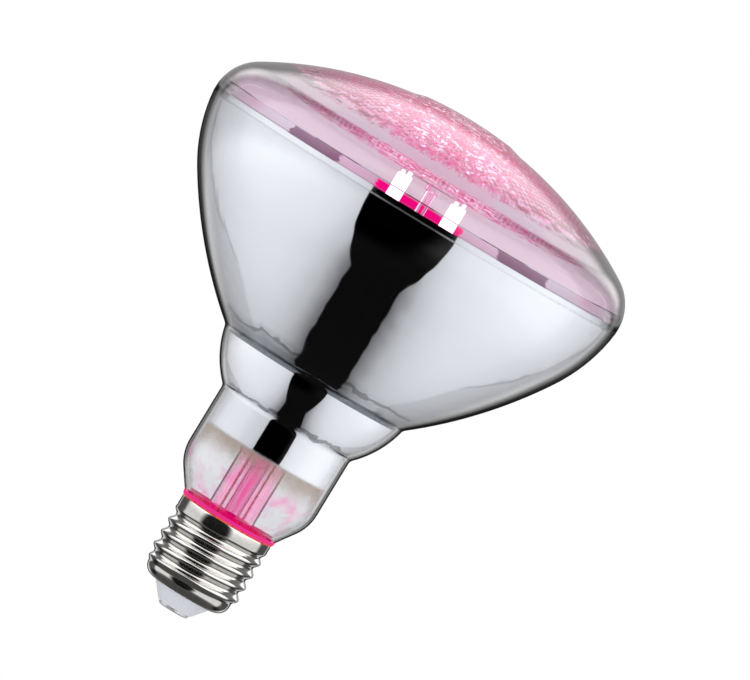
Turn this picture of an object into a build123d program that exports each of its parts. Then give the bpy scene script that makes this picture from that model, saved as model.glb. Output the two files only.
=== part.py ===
"""Reflector plant lamp with LED filaments on a screw base.

A pressed glass body with a thick lens sealed on its rim stands on a rolled metal screw shell.
Inside, a glass stem carries four filaments, and a small driver sits in the cap below the stem.
Millimetres and degrees. +Z runs along the lamp's axis from the base to the lens, and the
origin is the middle of the contact's underside.
"""
import os
from math import acos, asin, atan2, cos, degrees, radians, sin, sqrt, tan

from build123d import *

# Screw cap
contact_radius = 4.3
contact_thickness = 0.9
contact_edge = 0.3
contact_stem_radius = 1.9
contact_stem_length = 5.5
insulator_foot_radius = 4.8
insulator_neck_radius = 8.2
shell_bottom = 5.1
shell_wall = 0.3
shell_curl_radius = 3.1
thread_root_radius = 12.05
thread_depth = 1.15
thread_pitch = 3.629
thread_turns = 4.5
thread_start_angle = 108.0
thread_fade_turns = 0.5
sections_per_turn = 8
collar_radius = 13.1
collar_height = 2.5

# Glass body, from the tail in the cap up to the rim
body_wall = 1.5
tail_depth = 9.0
tail_clearance = 0.4
tail_fillet = 3.0
neck_cone_angle = 35.0
neck_shoulder_radius = 12.0
neck_radius = 19.0
neck_bottom = 40.0
waist_fillet = 2.0
neck_length = 15.4
bulge_radius = 26.8
bulge_belly_radius = 27.1
bulge_height = 14.5
corner_fillet = 2.0
flank_radius = 124.6
shoulder_radius = 44.6
bowl_depth = 49.3
rim_lean = 6.3
rim_radius = 60.0

# Cement ring in the collar, with a bead that shows above the metal
cement_depth = 2.5
bead_height = 1.4
bead_bulge = 0.15

# Front lens
lens_wall = 2.2
lens_dome_radius = 105.0
lens_shoulder_radius = 12.9
lens_skirt_height = 1.3
lens_rim_width = 4.0
lens_rim_height = 4.3
seam_chamfer = 0.35
disc_radius = 15.8
disc_rise = 0.8
disc_slope = 0.9
lenslet_pitch = 2.4
lenslet_bulge = 0.28
lenslet_field_radius = 51.0
lenslet_centre_radius = 3.0

# Glass stem that is sealed to the tail of the body
stem_wall = 1.0
stem_foot_height = 1.0
stem_tube_radius = 6.5
stem_flare_height = 9.0
stem_tube_top = 56.0
press_width = 13.6
press_thickness = 4.6
press_loft_height = 6.0
press_height = 10.0
exhaust_radius = 2.2
exhaust_wall = 0.8
exhaust_tip_length = 3.0
exhaust_bottom_clearance = 4.0
post_radius = 1.35
button_radius = 2.0
button_height = 3.0

# Filaments and the metal that carries them
mount_turn = 7.0
mount_shift = 1.1
filament_ring_radius = 11.4
filament_width = 2.4
filament_thickness = 1.8
filament_length = 37.2
filament_tab_width = 1.2
filament_tab_thickness = 0.3
filament_lower_tab = 3.1
filament_upper_tab = 1.9
filament_end_chamfer = 0.3
yoke_height = 88.0
yoke_width = 1.3
yoke_thickness = 0.4
yoke_end_angle = 5.0
anchor_width = 1.1
anchor_thickness = 0.3
anchor_hub_radius = 2.4
lead_radius = 0.35
lead_spacing = 6.8
lead_straight = 3.0
lead_rise = 9.0
lead_bend_radius = 4.0

# Driver in the cap
board_radius = 10.3
board_thickness = 1.0
board_height = 11.4
board_ledge_width = 1.9
board_ledge_overhang = 0.9
capacitor_radius = 2.5
capacitor_height = 7.0
capacitor_place = (0.0, 4.9)
capacitor_vent_radius = 1.7
capacitor_groove = 0.25
choke_radius = 2.6
choke_height = 4.2
choke_flange = 0.8
choke_core_radius = 1.7
choke_place = (-4.6, -4.4)
rectifier_size = (4.7, 3.9, 1.6)
rectifier_place = (4.4, -4.2)
chip_size = (4.9, 3.9, 1.5)
chip_place = (0.0, 5.0)
package_chamfer = 0.25
leg_lift = 0.1
leg_width = 0.5
leg_reach = 0.8
fuse_radius = 1.0
fuse_length = 4.6
fuse_cap_radius = 1.15
fuse_cap_length = 1.0
fuse_place = (-6.6, 3.0)
contact_wire_radius = 0.4
shell_wire_radius = 0.3
shell_wire_rise = 2.2
shell_wire_bend = 1.0
shell_wire_angle = -90.0
shell_wire_inset = 1.2

# Heights and radii that follow from the driving sizes
thread_bottom = shell_bottom + shell_curl_radius
thread_top = thread_bottom + thread_turns * thread_pitch
shell_top = thread_top + collar_height
shell_mouth_radius = insulator_neck_radius
tail_radius = thread_root_radius - shell_wall - tail_clearance
tail_bottom = shell_top - tail_depth
stem_foot_bottom = tail_bottom - stem_foot_height
stem_flare_top = tail_bottom + stem_flare_height
press_bottom = stem_tube_top + press_loft_height
press_top = press_bottom + press_height
yoke_top = yoke_height + yoke_thickness
anchor_bottom = yoke_top + filament_lower_tab + filament_length + filament_upper_tab
board_top = board_height + board_thickness
neck_top = neck_bottom + neck_length
corner_height = neck_top + bulge_height
rim_height = corner_height + bowl_depth


def point(place):
    """A point of the lamp's half section, given as radius and height."""
    radius, height = place
    return (radius, 0, height)


def line(start, end):
    return Line(point(start), point(end))


def on_circle(centre, radius, angle):
    """The point of a circle in the half section at an angle up from outward."""
    return (centre[0] + radius * cos(radians(angle)), centre[1] + radius * sin(radians(angle)))


def bearing(centre, place):
    return degrees(atan2(place[1] - centre[1], place[0] - centre[0]))


def arc(centre, radius, start, end):
    """An arc in the half section between two angles."""
    places = [on_circle(centre, radius, angle) for angle in (start, (start + end) / 2, end)]
    return ThreePointArc(*[point(place) for place in places])


def joined(edges):
    """The edges in order, with a straight run wherever two of them stand apart."""
    chain = []
    for index, edge in enumerate(edges):
        following = edges[(index + 1) % len(edges)]
        chain.append(edge)
        if (following.position_at(0) - edge.position_at(1)).length > 1e-6:
            chain.append(Line(edge.position_at(1), following.position_at(0)))
    return chain


def turned(edges):
    """A solid turned about the lamp's axis from a closed outline."""
    return revolve(Face(Wire(joined(edges))), Axis.Z)


def polygon(*places):
    return [line(start, end) for start, end in zip(places, places[1:])]


def rod(radius, bottom, top, place=(0, 0)):
    """An upright cylinder."""
    return Pos(*place, bottom) * extrude(Circle(radius), top - bottom)


def tube(outer, inner, bottom, top):
    return extrude(Pos(0, 0, bottom) * (Circle(outer) - Circle(inner)), top - bottom)


def meetings(centre_a, radius_a, centre_b, radius_b):
    """Where two circles of the half section cross, the one nearer the axis first."""
    across, up = centre_b[0] - centre_a[0], centre_b[1] - centre_a[1]
    distance = sqrt(across ** 2 + up ** 2)
    along = (distance ** 2 + radius_a ** 2 - radius_b ** 2) / (2 * distance)
    swing = degrees(acos(along / radius_a))
    heading = degrees(atan2(up, across))
    return sorted(on_circle(centre_a, radius_a, heading + side * swing) for side in (-1, 1))


def neck_cone_radius(height):
    """The radius of the neck's cone at a height."""
    top = on_circle((neck_radius - neck_shoulder_radius, neck_bottom), neck_shoulder_radius, -neck_cone_angle)
    return top[0] - (top[1] - height) * tan(radians(neck_cone_angle))


def tail_fillet_centre():
    """The centre of the fillet that joins the neck's cone to the tail."""
    centre_radius = tail_radius + tail_fillet
    touch_radius = centre_radius - tail_fillet * cos(radians(neck_cone_angle))
    cone_top = on_circle((neck_radius - neck_shoulder_radius, neck_bottom), neck_shoulder_radius, -neck_cone_angle)
    drop = (cone_top[0] - touch_radius) / tan(radians(neck_cone_angle))
    return centre_radius, cone_top[1] - drop - tail_fillet * sin(radians(neck_cone_angle))


def body_outline(inset):
    """Edges of the glass body from its tail to its rim, moved inward by a wall."""
    cone = neck_cone_angle
    neck_centre = (neck_radius - neck_shoulder_radius, neck_bottom)
    tail_centre = tail_fillet_centre()

    # The bulge touches the waist's fillet, and its belly is as wide as stated.
    waist_centre = (neck_radius + waist_fillet, neck_top)
    bulge_middle = bulge_belly_radius - bulge_radius
    rise = sqrt((bulge_radius + waist_fillet) ** 2 - (waist_centre[0] - bulge_middle) ** 2)
    bulge_centre = (bulge_middle, neck_top + rise)
    corner_drop = bulge_centre[1] - corner_height
    corner = (bulge_middle + sqrt(bulge_radius ** 2 - corner_drop ** 2), corner_height)

    # The flank starts at that corner and runs smoothly into the shoulder below the rim.
    rim = (rim_radius, rim_height)
    shoulder_centre = on_circle(rim, shoulder_radius, 180 - rim_lean)
    flank_centre = meetings(shoulder_centre, flank_radius - shoulder_radius, corner, flank_radius)[0]
    shoulder_angle = -bearing(flank_centre, shoulder_centre)
    corner_centre = meetings(bulge_centre, bulge_radius + corner_fillet,
                             flank_centre, flank_radius + corner_fillet)[1]

    edges = [line((tail_radius - inset, tail_bottom), (tail_radius - inset, tail_centre[1]))]
    edges.append(arc(tail_centre, tail_fillet + inset, 180, 180 - cone))
    edges.append(arc(neck_centre, neck_shoulder_radius - inset, -cone, 0))
    edges.append(arc(waist_centre, waist_fillet + inset, 180, bearing(waist_centre, bulge_centre)))
    edges.append(arc(bulge_centre, bulge_radius - inset,
                     bearing(bulge_centre, waist_centre), bearing(bulge_centre, corner_centre)))
    edges.append(arc(corner_centre, corner_fillet + inset,
                     bearing(corner_centre, bulge_centre) % 360,
                     bearing(corner_centre, flank_centre) % 360))
    edges.append(arc(flank_centre, flank_radius - inset,
                     bearing(flank_centre, corner_centre), -shoulder_angle))
    rim_angle = -degrees(asin((shoulder_centre[1] - rim_height) / (shoulder_radius - inset)))
    edges.append(arc(shoulder_centre, shoulder_radius - inset, -shoulder_angle, rim_angle))
    return edges


def reflector_body():
    """The pressed glass body: one even wall from the tail up to the rim."""
    outer = body_outline(0)
    inner = [edge.reversed() for edge in reversed(body_outline(body_wall))]
    body = turned(outer + inner)
    return chamfer(rim_edge(body, rim_radius, rim_height), seam_chamfer)


def rim_edge(piece, radius, height):
    """The outermost circle of a piece at a height."""
    circles = [edge for edge in piece.edges() if abs(edge.center().Z - height) < 1e-3]
    return max(circles, key=lambda edge: edge.radius)


def body_core():
    """Everything inside the outer face of the glass body."""
    outer = body_outline(0)
    end = outer[-1].position_at(1)
    start = outer[0].position_at(0)
    axis = Line((0, 0, end.Z), (0, 0, start.Z))
    return turned(outer + [axis])


def lens_profile():
    """Centres of the lens's shoulder and dome, and where the two arcs meet."""
    shoulder = (rim_radius - lens_shoulder_radius, rim_height + lens_skirt_height)
    reach = lens_dome_radius - lens_shoulder_radius
    dome = (0, shoulder[1] - sqrt(reach ** 2 - shoulder[0] ** 2))
    return shoulder, dome, bearing(dome, shoulder)


def front_lens():
    """The pressed lens: a dome with a thick rim, a raised middle and rows of lenslets inside."""
    shoulder, dome, meeting = lens_profile()
    disc_angle = degrees(acos(disc_radius / lens_dome_radius))
    disc_edge = on_circle(dome, lens_dome_radius, disc_angle)
    disc_top_radius = lens_dome_radius + disc_rise
    disc_top_angle = degrees(acos((disc_radius - disc_slope) / disc_top_radius))
    outer = [line((rim_radius, rim_height), (rim_radius, shoulder[1])),
             arc(shoulder, lens_shoulder_radius, 0, meeting),
             arc(dome, lens_dome_radius, meeting, disc_angle),
             line(disc_edge, on_circle(dome, disc_top_radius, disc_top_angle)),
             arc(dome, disc_top_radius, disc_top_angle, 90)]

    inner_radius = lens_dome_radius - lens_wall
    rows = int((lenslet_field_radius - lenslet_centre_radius) / lenslet_pitch)
    first_radius = lenslet_field_radius - rows * lenslet_pitch
    steps = [first_radius + half * lenslet_pitch / 2 for half in range(2 * rows + 1)]
    angles = [degrees(acos(radius / inner_radius)) for radius in steps]
    # Every second step is a ridge that stands in from the dome's inner face.
    depths = [half % 2 * lenslet_bulge for half in range(2 * rows + 1)]
    lenslets = polygon(*[on_circle(dome, inner_radius - depth, angle)
                         for angle, depth in zip(angles, depths)])
    middle = arc(dome, inner_radius, 90, angles[0])
    band = arc(dome, inner_radius, angles[-1], meeting)

    step_height = rim_height + lens_rim_height
    shoulder_inner = lens_shoulder_radius - lens_wall
    step_angle = degrees(asin((step_height - shoulder[1]) / shoulder_inner))
    step = on_circle(shoulder, shoulder_inner, step_angle)
    rim_inner = rim_radius - lens_rim_width
    inner = [middle] + lenslets + [band, arc(shoulder, shoulder_inner, meeting, step_angle)]
    inner += polygon(step, (rim_inner, step_height), (rim_inner, rim_height), (rim_radius, rim_height))
    lens = turned(outer + inner)
    return chamfer(rim_edge(lens, rim_radius, rim_height), seam_chamfer)


def thread_circles(inset):
    """Circles whose centre winds round the axis, which is what a rounded thread's sections are."""
    count = round(thread_turns * sections_per_turn)
    circles = []
    for index in range(count + 1):
        turns = index * thread_turns / count
        lower_fade = min(1, turns / thread_fade_turns)
        upper_fade = min(1, (thread_turns - turns) / thread_fade_turns)
        offset = thread_depth / 2 * min(lower_fade, upper_fade)
        swell = (collar_radius - thread_root_radius) * (1 - upper_fade)
        angle = radians(thread_start_angle + 360 * turns)
        centre = Pos(offset * cos(angle), offset * sin(angle), thread_bottom + turns * thread_pitch)
        circles.append(centre * Circle(thread_root_radius + offset + swell - inset))
    return circles


def shell_hollow():
    """The space inside the threaded stretch."""
    return loft(thread_circles(shell_wall), ruled=True)


def winding_wall():
    """The threaded stretch of the shell, rolled from thin sheet: its two skins and its end rings."""
    faces = []
    ends = []
    for skin in (loft(thread_circles(0), ruled=True), shell_hollow()):
        flat = skin.faces().filter_by(Axis.Z).sort_by(Axis.Z)
        ends.append((flat[0], flat[-1]))
        faces += [face for face in skin.faces() if face not in flat]
    for outer, inner in zip(*ends):
        faces.append(Face(outer.outer_wire(), [inner.outer_wire()]))
    return Solid(Shell(faces))


def screw_shell():
    """The rolled screw shell: a curled mouth, the thread and a plain collar."""
    curl = (thread_root_radius - shell_curl_radius, thread_bottom)
    mouth_inner = shell_mouth_radius
    lip = shell_bottom + shell_wall
    mouth = turned([arc(curl, shell_curl_radius, -90, 0),
                    arc(curl, shell_curl_radius - shell_wall, 0, -90),
                    line((mouth_inner, lip), (mouth_inner, shell_bottom))])
    collar = tube(collar_radius, collar_radius - shell_wall, thread_top, shell_top)
    return winding_wall() + mouth + collar


def cap_insulator():
    """The white insert: a cone below the shell, a flange in its curl and a ledge for the board."""
    curl = (thread_root_radius - shell_curl_radius, thread_bottom)
    ledge_outer = board_radius + board_ledge_overhang
    ledge_inner = ledge_outer - board_ledge_width
    lip = shell_bottom + shell_wall
    return turned([line((contact_stem_radius, contact_thickness), (insulator_foot_radius, contact_thickness)),
                   line((insulator_neck_radius, shell_bottom), (insulator_neck_radius, lip)),
                   arc(curl, shell_curl_radius - shell_wall, -90, 0),
                   line((ledge_outer, thread_bottom), (ledge_outer, board_height)),
                   line((ledge_inner, board_height), (ledge_inner, thread_bottom)),
                   line((contact_stem_radius, thread_bottom), (contact_stem_radius, contact_thickness))])


def centre_contact():
    """The riveted contact in the tip of the cap."""
    head = rod(contact_radius, 0, contact_thickness)
    head = chamfer(head.edges().sort_by(Axis.Z)[0], contact_edge)
    return head + rod(contact_stem_radius, contact_thickness, contact_thickness + contact_stem_length)


def basing_cement():
    """Cement between the glass tail and the collar, with its bead on the metal's edge."""
    inner = tail_radius - tail_clearance
    bead_top = shell_top + bead_height
    start = (collar_radius, shell_top)
    end = (neck_cone_radius(bead_top), bead_top)
    middle = ((start[0] + end[0]) / 2 + bead_bulge, (start[1] + end[1]) / 2)
    collar_inner = collar_radius - shell_wall
    ring = turned([line((inner, shell_top - cement_depth), (collar_inner, shell_top - cement_depth)),
                   line((collar_inner, shell_top), start),
                   ThreePointArc(point(start), point(middle), point(end)),
                   line((inner, bead_top), (inner, shell_top - cement_depth))])
    return ring - body_core()


def stem_flare():
    """The stem's glass: a foot on the tail's end, a flared tube and the flat press on top."""
    reach = tail_radius - body_wall - tail_clearance - stem_tube_radius
    curve = (stem_flare_height ** 2 + reach ** 2) / (2 * reach)
    centre = (stem_tube_radius + curve, stem_flare_top)
    foot_angle = degrees(asin(stem_flare_height / curve))
    inner_curve = curve + stem_wall
    inner_angle = degrees(asin(stem_flare_height / inner_curve))
    tube_inner = stem_tube_radius - stem_wall
    foot_inner = on_circle(centre, inner_curve, 180 + inner_angle)
    stem = turned([line((tail_radius, stem_foot_bottom), (tail_radius, tail_bottom)),
                   arc(centre, curve, 180 + foot_angle, 180),
                   line((stem_tube_radius, stem_flare_top), (stem_tube_radius, stem_tube_top)),
                   line((tube_inner, stem_tube_top), (tube_inner, stem_flare_top)),
                   arc(centre, inner_curve, 180, 180 + inner_angle),
                   line(foot_inner, (foot_inner[0], stem_foot_bottom))])
    flat = RectangleRounded(press_width, press_thickness, press_thickness * 0.45)
    press = loft([Pos(0, 0, stem_tube_top) * Circle(stem_tube_radius), Pos(0, 0, press_bottom) * flat])
    press += extrude(Pos(0, 0, press_bottom) * flat, press_height)
    press = Rot(0, 0, mount_turn) * press
    return stem + press - [lead_hole(side) for side in (-1, 1)]


def lead_hole(side):
    """Where a lead runs through the press."""
    hole = rod(lead_radius, stem_tube_top, press_top, (side * lead_spacing / 2, 0))
    return Rot(0, 0, mount_turn) * hole


def exhaust_tube():
    """The thin tube in the stem, sealed off in a point at its lower end."""
    tip = tail_bottom - stem_foot_height + exhaust_bottom_clearance
    shoulder = tip + exhaust_tip_length
    inner = exhaust_radius - exhaust_wall
    return turned(polygon((0, tip), (exhaust_radius, shoulder), (exhaust_radius, stem_tube_top),
                          (inner, stem_tube_top), (inner, shoulder), (0, tip + exhaust_wall * 2), (0, tip)))


def mounted(piece):
    """A piece of the filament mount, set off the axis and turned with the press."""
    return Rot(0, 0, mount_turn) * Pos(mount_shift, 0, 0) * piece


def centre_post():
    """The glass post on the press, with the button that holds the upper anchor."""
    post = rod(post_radius, press_top, anchor_bottom)
    bulb = extrude(Pos(0, 0, anchor_bottom - button_height) * Circle(button_radius), button_height)
    bulb = chamfer(bulb.edges().sort_by(Axis.Z)[0], button_radius - post_radius)
    return mounted(post + bulb)


def led_filament(index):
    """One filament: a coated bar with a flat metal tab at each end."""
    bar_bottom = yoke_top + filament_lower_tab
    section = RectangleRounded(filament_thickness, filament_width, filament_thickness * 0.48)
    tab_section = Rectangle(filament_tab_thickness, filament_tab_width)
    bar = extrude(Pos(0, 0, bar_bottom) * section, filament_length)
    bar = chamfer(bar.edges().group_by(Axis.Z)[0] + bar.edges().group_by(Axis.Z)[-1], filament_end_chamfer)
    tabs = extrude(Pos(0, 0, yoke_top) * tab_section, anchor_bottom - yoke_top)
    return mounted(Rot(0, 0, 45 + 90 * index) * Pos(filament_ring_radius, 0, 0) * (bar + tabs))


def upper_anchor():
    """The stamped cross that ties the upper tabs together on the post."""
    arm_length = filament_ring_radius + anchor_width
    cross = Circle(anchor_hub_radius)
    for index in range(4):
        arm = Pos(arm_length / 2, 0) * Rectangle(arm_length, anchor_width)
        cross += Rot(0, 0, 45 + 90 * index) * arm
    return mounted(Pos(0, 0, anchor_bottom) * extrude(cross, anchor_thickness))


def lower_yoke(side):
    """The curved strip that feeds the lower tabs of two filaments."""
    middle = 0 if side > 0 else 180
    start = middle - 45 - yoke_end_angle
    size = 90 + 2 * yoke_end_angle
    outer = CenterArc((0, 0), filament_ring_radius + yoke_width / 2, start, size)
    inner = CenterArc((0, 0), filament_ring_radius - yoke_width / 2, start, size)
    outline = Wire([outer, Line(outer @ 1, inner @ 1), inner, Line(inner @ 0, outer @ 0)])
    return mounted(extrude(Pos(0, 0, yoke_height) * Face(outline), yoke_thickness))


def lead_wire(side):
    """A lead from the board through the press to the middle of its yoke."""
    near = side * lead_spacing / 2
    far = mount_shift + side * filament_ring_radius
    bend = press_top + lead_straight
    path = FilletPolyline((near, 0, board_top), (near, 0, bend), (far, 0, bend + lead_rise),
                          (far, 0, yoke_height), radius=lead_bend_radius)
    wire = sweep(Plane(path @ 0, z_dir=path % 0) * Circle(lead_radius), path)
    return Rot(0, 0, mount_turn) * wire


def driver_board():
    """The round board on the insulator's ledge."""
    return rod(board_radius, board_height, board_top)


def smoothing_capacitor():
    """An upright can with its rolled groove."""
    top = board_top + capacitor_height
    groove = board_top + capacitor_groove * 4
    waist = capacitor_radius - capacitor_groove
    can = turned(polygon((0, board_top), (capacitor_radius, board_top),
                         (capacitor_radius, groove - capacitor_groove), (waist, groove),
                         (capacitor_radius, groove + capacitor_groove), (capacitor_radius, top),
                         (capacitor_vent_radius, top), (capacitor_vent_radius, top - capacitor_groove),
                         (0, top - capacitor_groove), (0, board_top)))
    return Pos(*capacitor_place) * can


def choke():
    """A drum core between two flanges, with its winding as one ring."""
    top = board_top + choke_height
    wound = (choke_radius + choke_core_radius) / 2
    drum = polygon((0, board_top), (choke_radius, board_top), (choke_radius, board_top + choke_flange),
                   (wound, board_top + choke_flange), (wound, top - choke_flange),
                   (choke_radius, top - choke_flange), (choke_radius, top), (0, top), (0, board_top))
    return Pos(*choke_place) * turned(drum)


def packaged_chip(size, legs_per_side):
    """A moulded package on two rows of legs, standing on height zero."""
    package = Pos(0, 0, leg_lift) * extrude(Rectangle(size[0], size[1]), size[2] - leg_lift)
    package = chamfer(package.edges().group_by(Axis.Z)[-1], package_chamfer)
    leg_height = size[2] / 2
    for row in (-1, 1):
        for leg in range(legs_per_side):
            along = (leg - (legs_per_side - 1) / 2) * size[0] / legs_per_side
            across = row * (size[1] + leg_reach) / 2
            package += Pos(along, across, leg_height / 2) * Box(leg_width, leg_reach, leg_height)
    return package


def bridge_rectifier():
    return Pos(*rectifier_place, board_top) * packaged_chip(rectifier_size, 2)


def driver_chip():
    """The controller, upside down under the board."""
    return Pos(*chip_place, board_height) * Rot(180, 0, 0) * packaged_chip(chip_size, 4)


def fuse_resistor():
    """A body with two end caps, lying on the board."""
    half = fuse_length / 2
    cap_start = half - fuse_cap_length
    outline = polygon((0, -half), (fuse_cap_radius, -half), (fuse_cap_radius, -cap_start),
                      (fuse_radius, -cap_start), (fuse_radius, cap_start),
                      (fuse_cap_radius, cap_start), (fuse_cap_radius, half), (0, half), (0, -half))
    return Pos(*fuse_place, board_top + fuse_cap_radius) * Rot(90, 0, 0) * turned(outline)


def contact_wire():
    """The wire from the board down to the riveted contact."""
    return rod(contact_wire_radius, contact_thickness + contact_stem_length, board_height)


def shell_wire():
    """The wire from the board's edge out to the inside of the shell, where it is cut to the wall."""
    start = board_radius - shell_wire_inset
    corner = (start, 0, board_top + shell_wire_rise)
    path = FilletPolyline((start, 0, board_top), corner, (collar_radius, 0, corner[2]),
                          radius=shell_wire_bend)
    wire = sweep(Plane(path @ 0, z_dir=path % 0) * Circle(shell_wire_radius), path)
    return Rot(0, 0, shell_wire_angle) * wire & shell_hollow()


def main():
    pieces = {
        "front_lens": front_lens(),
        "reflector_body": reflector_body(),
        "screw_shell": screw_shell(),
        "cap_insulator": cap_insulator(),
        "centre_contact": centre_contact(),
        "basing_cement": basing_cement(),
        "stem_flare": stem_flare(),
        "exhaust_tube": exhaust_tube(),
        "centre_post": centre_post(),
        "upper_anchor": upper_anchor(),
        "lower_yoke_live": lower_yoke(1),
        "lower_yoke_neutral": lower_yoke(-1),
        "lead_wire_live": lead_wire(1),
        "lead_wire_neutral": lead_wire(-1),
        "driver_board": driver_board(),
        "smoothing_capacitor": smoothing_capacitor(),
        "choke": choke(),
        "bridge_rectifier": bridge_rectifier(),
        "driver_chip": driver_chip(),
        "fuse_resistor": fuse_resistor(),
        "contact_wire": contact_wire(),
        "shell_wire": shell_wire(),
    }
    for index in range(4):
        pieces[f"led_filament_{index + 1}"] = led_filament(index)
    os.makedirs("parts", exist_ok=True)
    for name, piece in pieces.items():
        export_step(piece, f"parts/{name}.step")


main()
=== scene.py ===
"""Looks of a reflector plant lamp: glass, mirror coat, lens, screw shell and the lit filaments."""
from math import acos, asin, atan2, ceil, cos, degrees, hypot, pi, radians, sin, sqrt, tan

import bpy
from mathutils import Matrix, Vector


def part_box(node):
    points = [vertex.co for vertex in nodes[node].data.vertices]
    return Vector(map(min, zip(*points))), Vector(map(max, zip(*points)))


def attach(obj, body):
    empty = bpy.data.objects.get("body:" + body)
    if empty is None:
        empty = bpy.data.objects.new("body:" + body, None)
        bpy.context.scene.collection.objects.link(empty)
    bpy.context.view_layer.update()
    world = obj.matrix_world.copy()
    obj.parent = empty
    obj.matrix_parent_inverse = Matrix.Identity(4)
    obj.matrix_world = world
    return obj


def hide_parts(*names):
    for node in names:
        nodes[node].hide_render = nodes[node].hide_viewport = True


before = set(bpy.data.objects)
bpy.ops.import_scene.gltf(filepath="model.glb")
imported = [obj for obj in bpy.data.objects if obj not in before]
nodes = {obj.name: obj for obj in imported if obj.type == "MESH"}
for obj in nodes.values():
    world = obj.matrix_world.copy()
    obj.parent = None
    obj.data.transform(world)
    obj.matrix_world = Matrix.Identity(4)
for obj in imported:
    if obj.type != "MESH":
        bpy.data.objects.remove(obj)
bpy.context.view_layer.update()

MM = 0.001

# Camera, from the lamp's lean in the picture and its scale
PICTURE_WIDTH = 0.1916
CAMERA_DISTANCE = 1.87
CAMERA_ELEVATION = 2.4
CAMERA_REACH = 20.0
LAMP_LEAN = 31.3
LOOK_AT = (8.36 * MM, 0.0, 86.1 * MM)
SENSOR_WIDTH = 36.0

# Floor, in metres
FLOOR_RADIUS = 1.1
FLOOR_HEIGHT = -0.22
FLOOR_SIDES = 96

# Sizes in millimetres that the frame gives
RIM_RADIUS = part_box("front_lens")[1].x / MM
RIM_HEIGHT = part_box("front_lens")[0].z / MM
TAIL_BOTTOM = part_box("reflector_body")[0].z / MM
SHELL_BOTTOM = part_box("screw_shell")[0].z / MM
SHELL_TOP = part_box("screw_shell")[1].z / MM
BEAD_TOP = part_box("basing_cement")[1].z / MM

# How finely round shapes are drawn: steps round the axis, and degrees between places of an arc
SPIN_STEPS = 240
ARC_STEP = 3.0
CORNER_STEP = 12.0
FLANK_STEP = 1.2
DOME_STEP = 1.0
INNER_DOME_STEP = 1.5
SHOULDER_STEP = 4.0
CURL_STEP = 9.0
SAME_PLACE = 1e-5
BODY_SMOOTH = 35.0
LENS_SMOOTH = 40.0
SHELL_SMOOTH = 50.0

# Glass body
BODY_WALL = 1.5
TAIL_RADIUS = 11.35
TAIL_FILLET = 3.0
NECK_CONE = 35.0
NECK_SHOULDER = 12.0
NECK_RADIUS = 19.0
NECK_BOTTOM = 40.0
NECK_TOP = 55.4
WAIST_FILLET = 2.0
BULGE_RADIUS = 26.8
BULGE_BELLY = 27.1
CORNER_HEIGHT = 69.9
CORNER_FILLET = 2.0
FLANK_RADIUS = 124.6
SHOULDER_RADIUS = 44.6
RIM_LEAN = 6.3
RIM_INSET = 0.04
SEAM_CHAMFER = 0.015

# Mirror coat
COAT_GAP = 0.02
COAT_THICKNESS = 0.02
COAT_BOTTOM = NECK_BOTTOM - 3.0
COAT_FADE_BOTTOM = 38.6
COAT_EDGE = 47.4
COAT_EDGE_SOFTNESS = 1.6
COAT_TOP = 120.95

# Lens
LENS_WALL = 2.2
LENS_DOME = 105.0
LENS_SHOULDER = 12.9
LENS_SKIRT = 1.3
LENS_RIM_WIDTH = 4.0
LENS_RIM_HEIGHT = 4.3
LENS_STEP_EDGE = 0.4
LENS_REBATE = 1.95
DISC_RADIUS = 15.8
DISC_RISE = 0.5
DISC_SLOPE = 3.4

# Lenslets, pressed in three goes of smaller and smaller reach so that they fade out at the field's edge
LENSLET_STEP = 1.25
LENSLET_PRESS = 1.2
LENSLET_JITTER = 0.3
JITTER_SEED = 3
LENSLET_FIELD = 46.0
FIELD_MARGIN = 0.6
FIELD_SPARE = 2.0
PRESS_REACHES = (LENSLET_FIELD - 1.8, LENSLET_FIELD - 4.3, LENSLET_FIELD - 7.0)
JITTER_REACH = LENSLET_FIELD - 3.0

# Screw shell
SHELL_WALL = 0.3
SHELL_SIDES = 96
CURL_RADIUS = 3.1
CURL_START = -105.0
THREAD_ROOT = 12.05
THREAD_DEPTH = 1.15
THREAD_PITCH = 3.629
THREAD_TURNS = 4.5
THREAD_START = 108.0
THREAD_FADE = 0.5
THREAD_STEPS_PER_TURN = 30
COLLAR_RADIUS = 13.1
COLLAR_EDGE = 0.35
COLLAR_TAPER = 0.12

# Colours that more than one finish uses
BLACK = (0.0, 0.0, 0.0)
WHITE = (1.0, 1.0, 1.0)
CLEAR_GREY = (0.875, 0.882, 0.9)
# The pink of the painted ring of lamp light at the foot of the glass and on the cement
PAINTED_RING_PINK = (0.62, 0.004, 0.2)


def on_circle(centre, radius, angle):
    return (centre[0] + radius * cos(radians(angle)), centre[1] + radius * sin(radians(angle)))


def bearing(centre, place):
    return degrees(atan2(place[1] - centre[1], place[0] - centre[0]))


def arc(centre, radius, start, end, step=ARC_STEP):
    """Places along an arc of the half section, both ends included."""
    count = max(2, ceil(abs(end - start) / step))
    return [on_circle(centre, radius, start + (end - start) * index / count) for index in range(count + 1)]


def chained(*stretches):
    """The places of all stretches in order, without the doubles where they meet."""
    places = []
    for stretch in stretches:
        for place in stretch:
            if not places or hypot(place[0] - places[-1][0], place[1] - places[-1][1]) > SAME_PLACE:
                places.append(place)
    return places


def meetings(centre_a, radius_a, centre_b, radius_b):
    """Where two circles of the half section cross, the one nearer the axis first."""
    across, up = centre_b[0] - centre_a[0], centre_b[1] - centre_a[1]
    distance = hypot(across, up)
    along = (distance ** 2 + radius_a ** 2 - radius_b ** 2) / (2 * distance)
    swing = degrees(acos(along / radius_a))
    heading = degrees(atan2(up, across))
    return sorted(on_circle(centre_a, radius_a, heading + side * swing) for side in (-1, 1))


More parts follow.
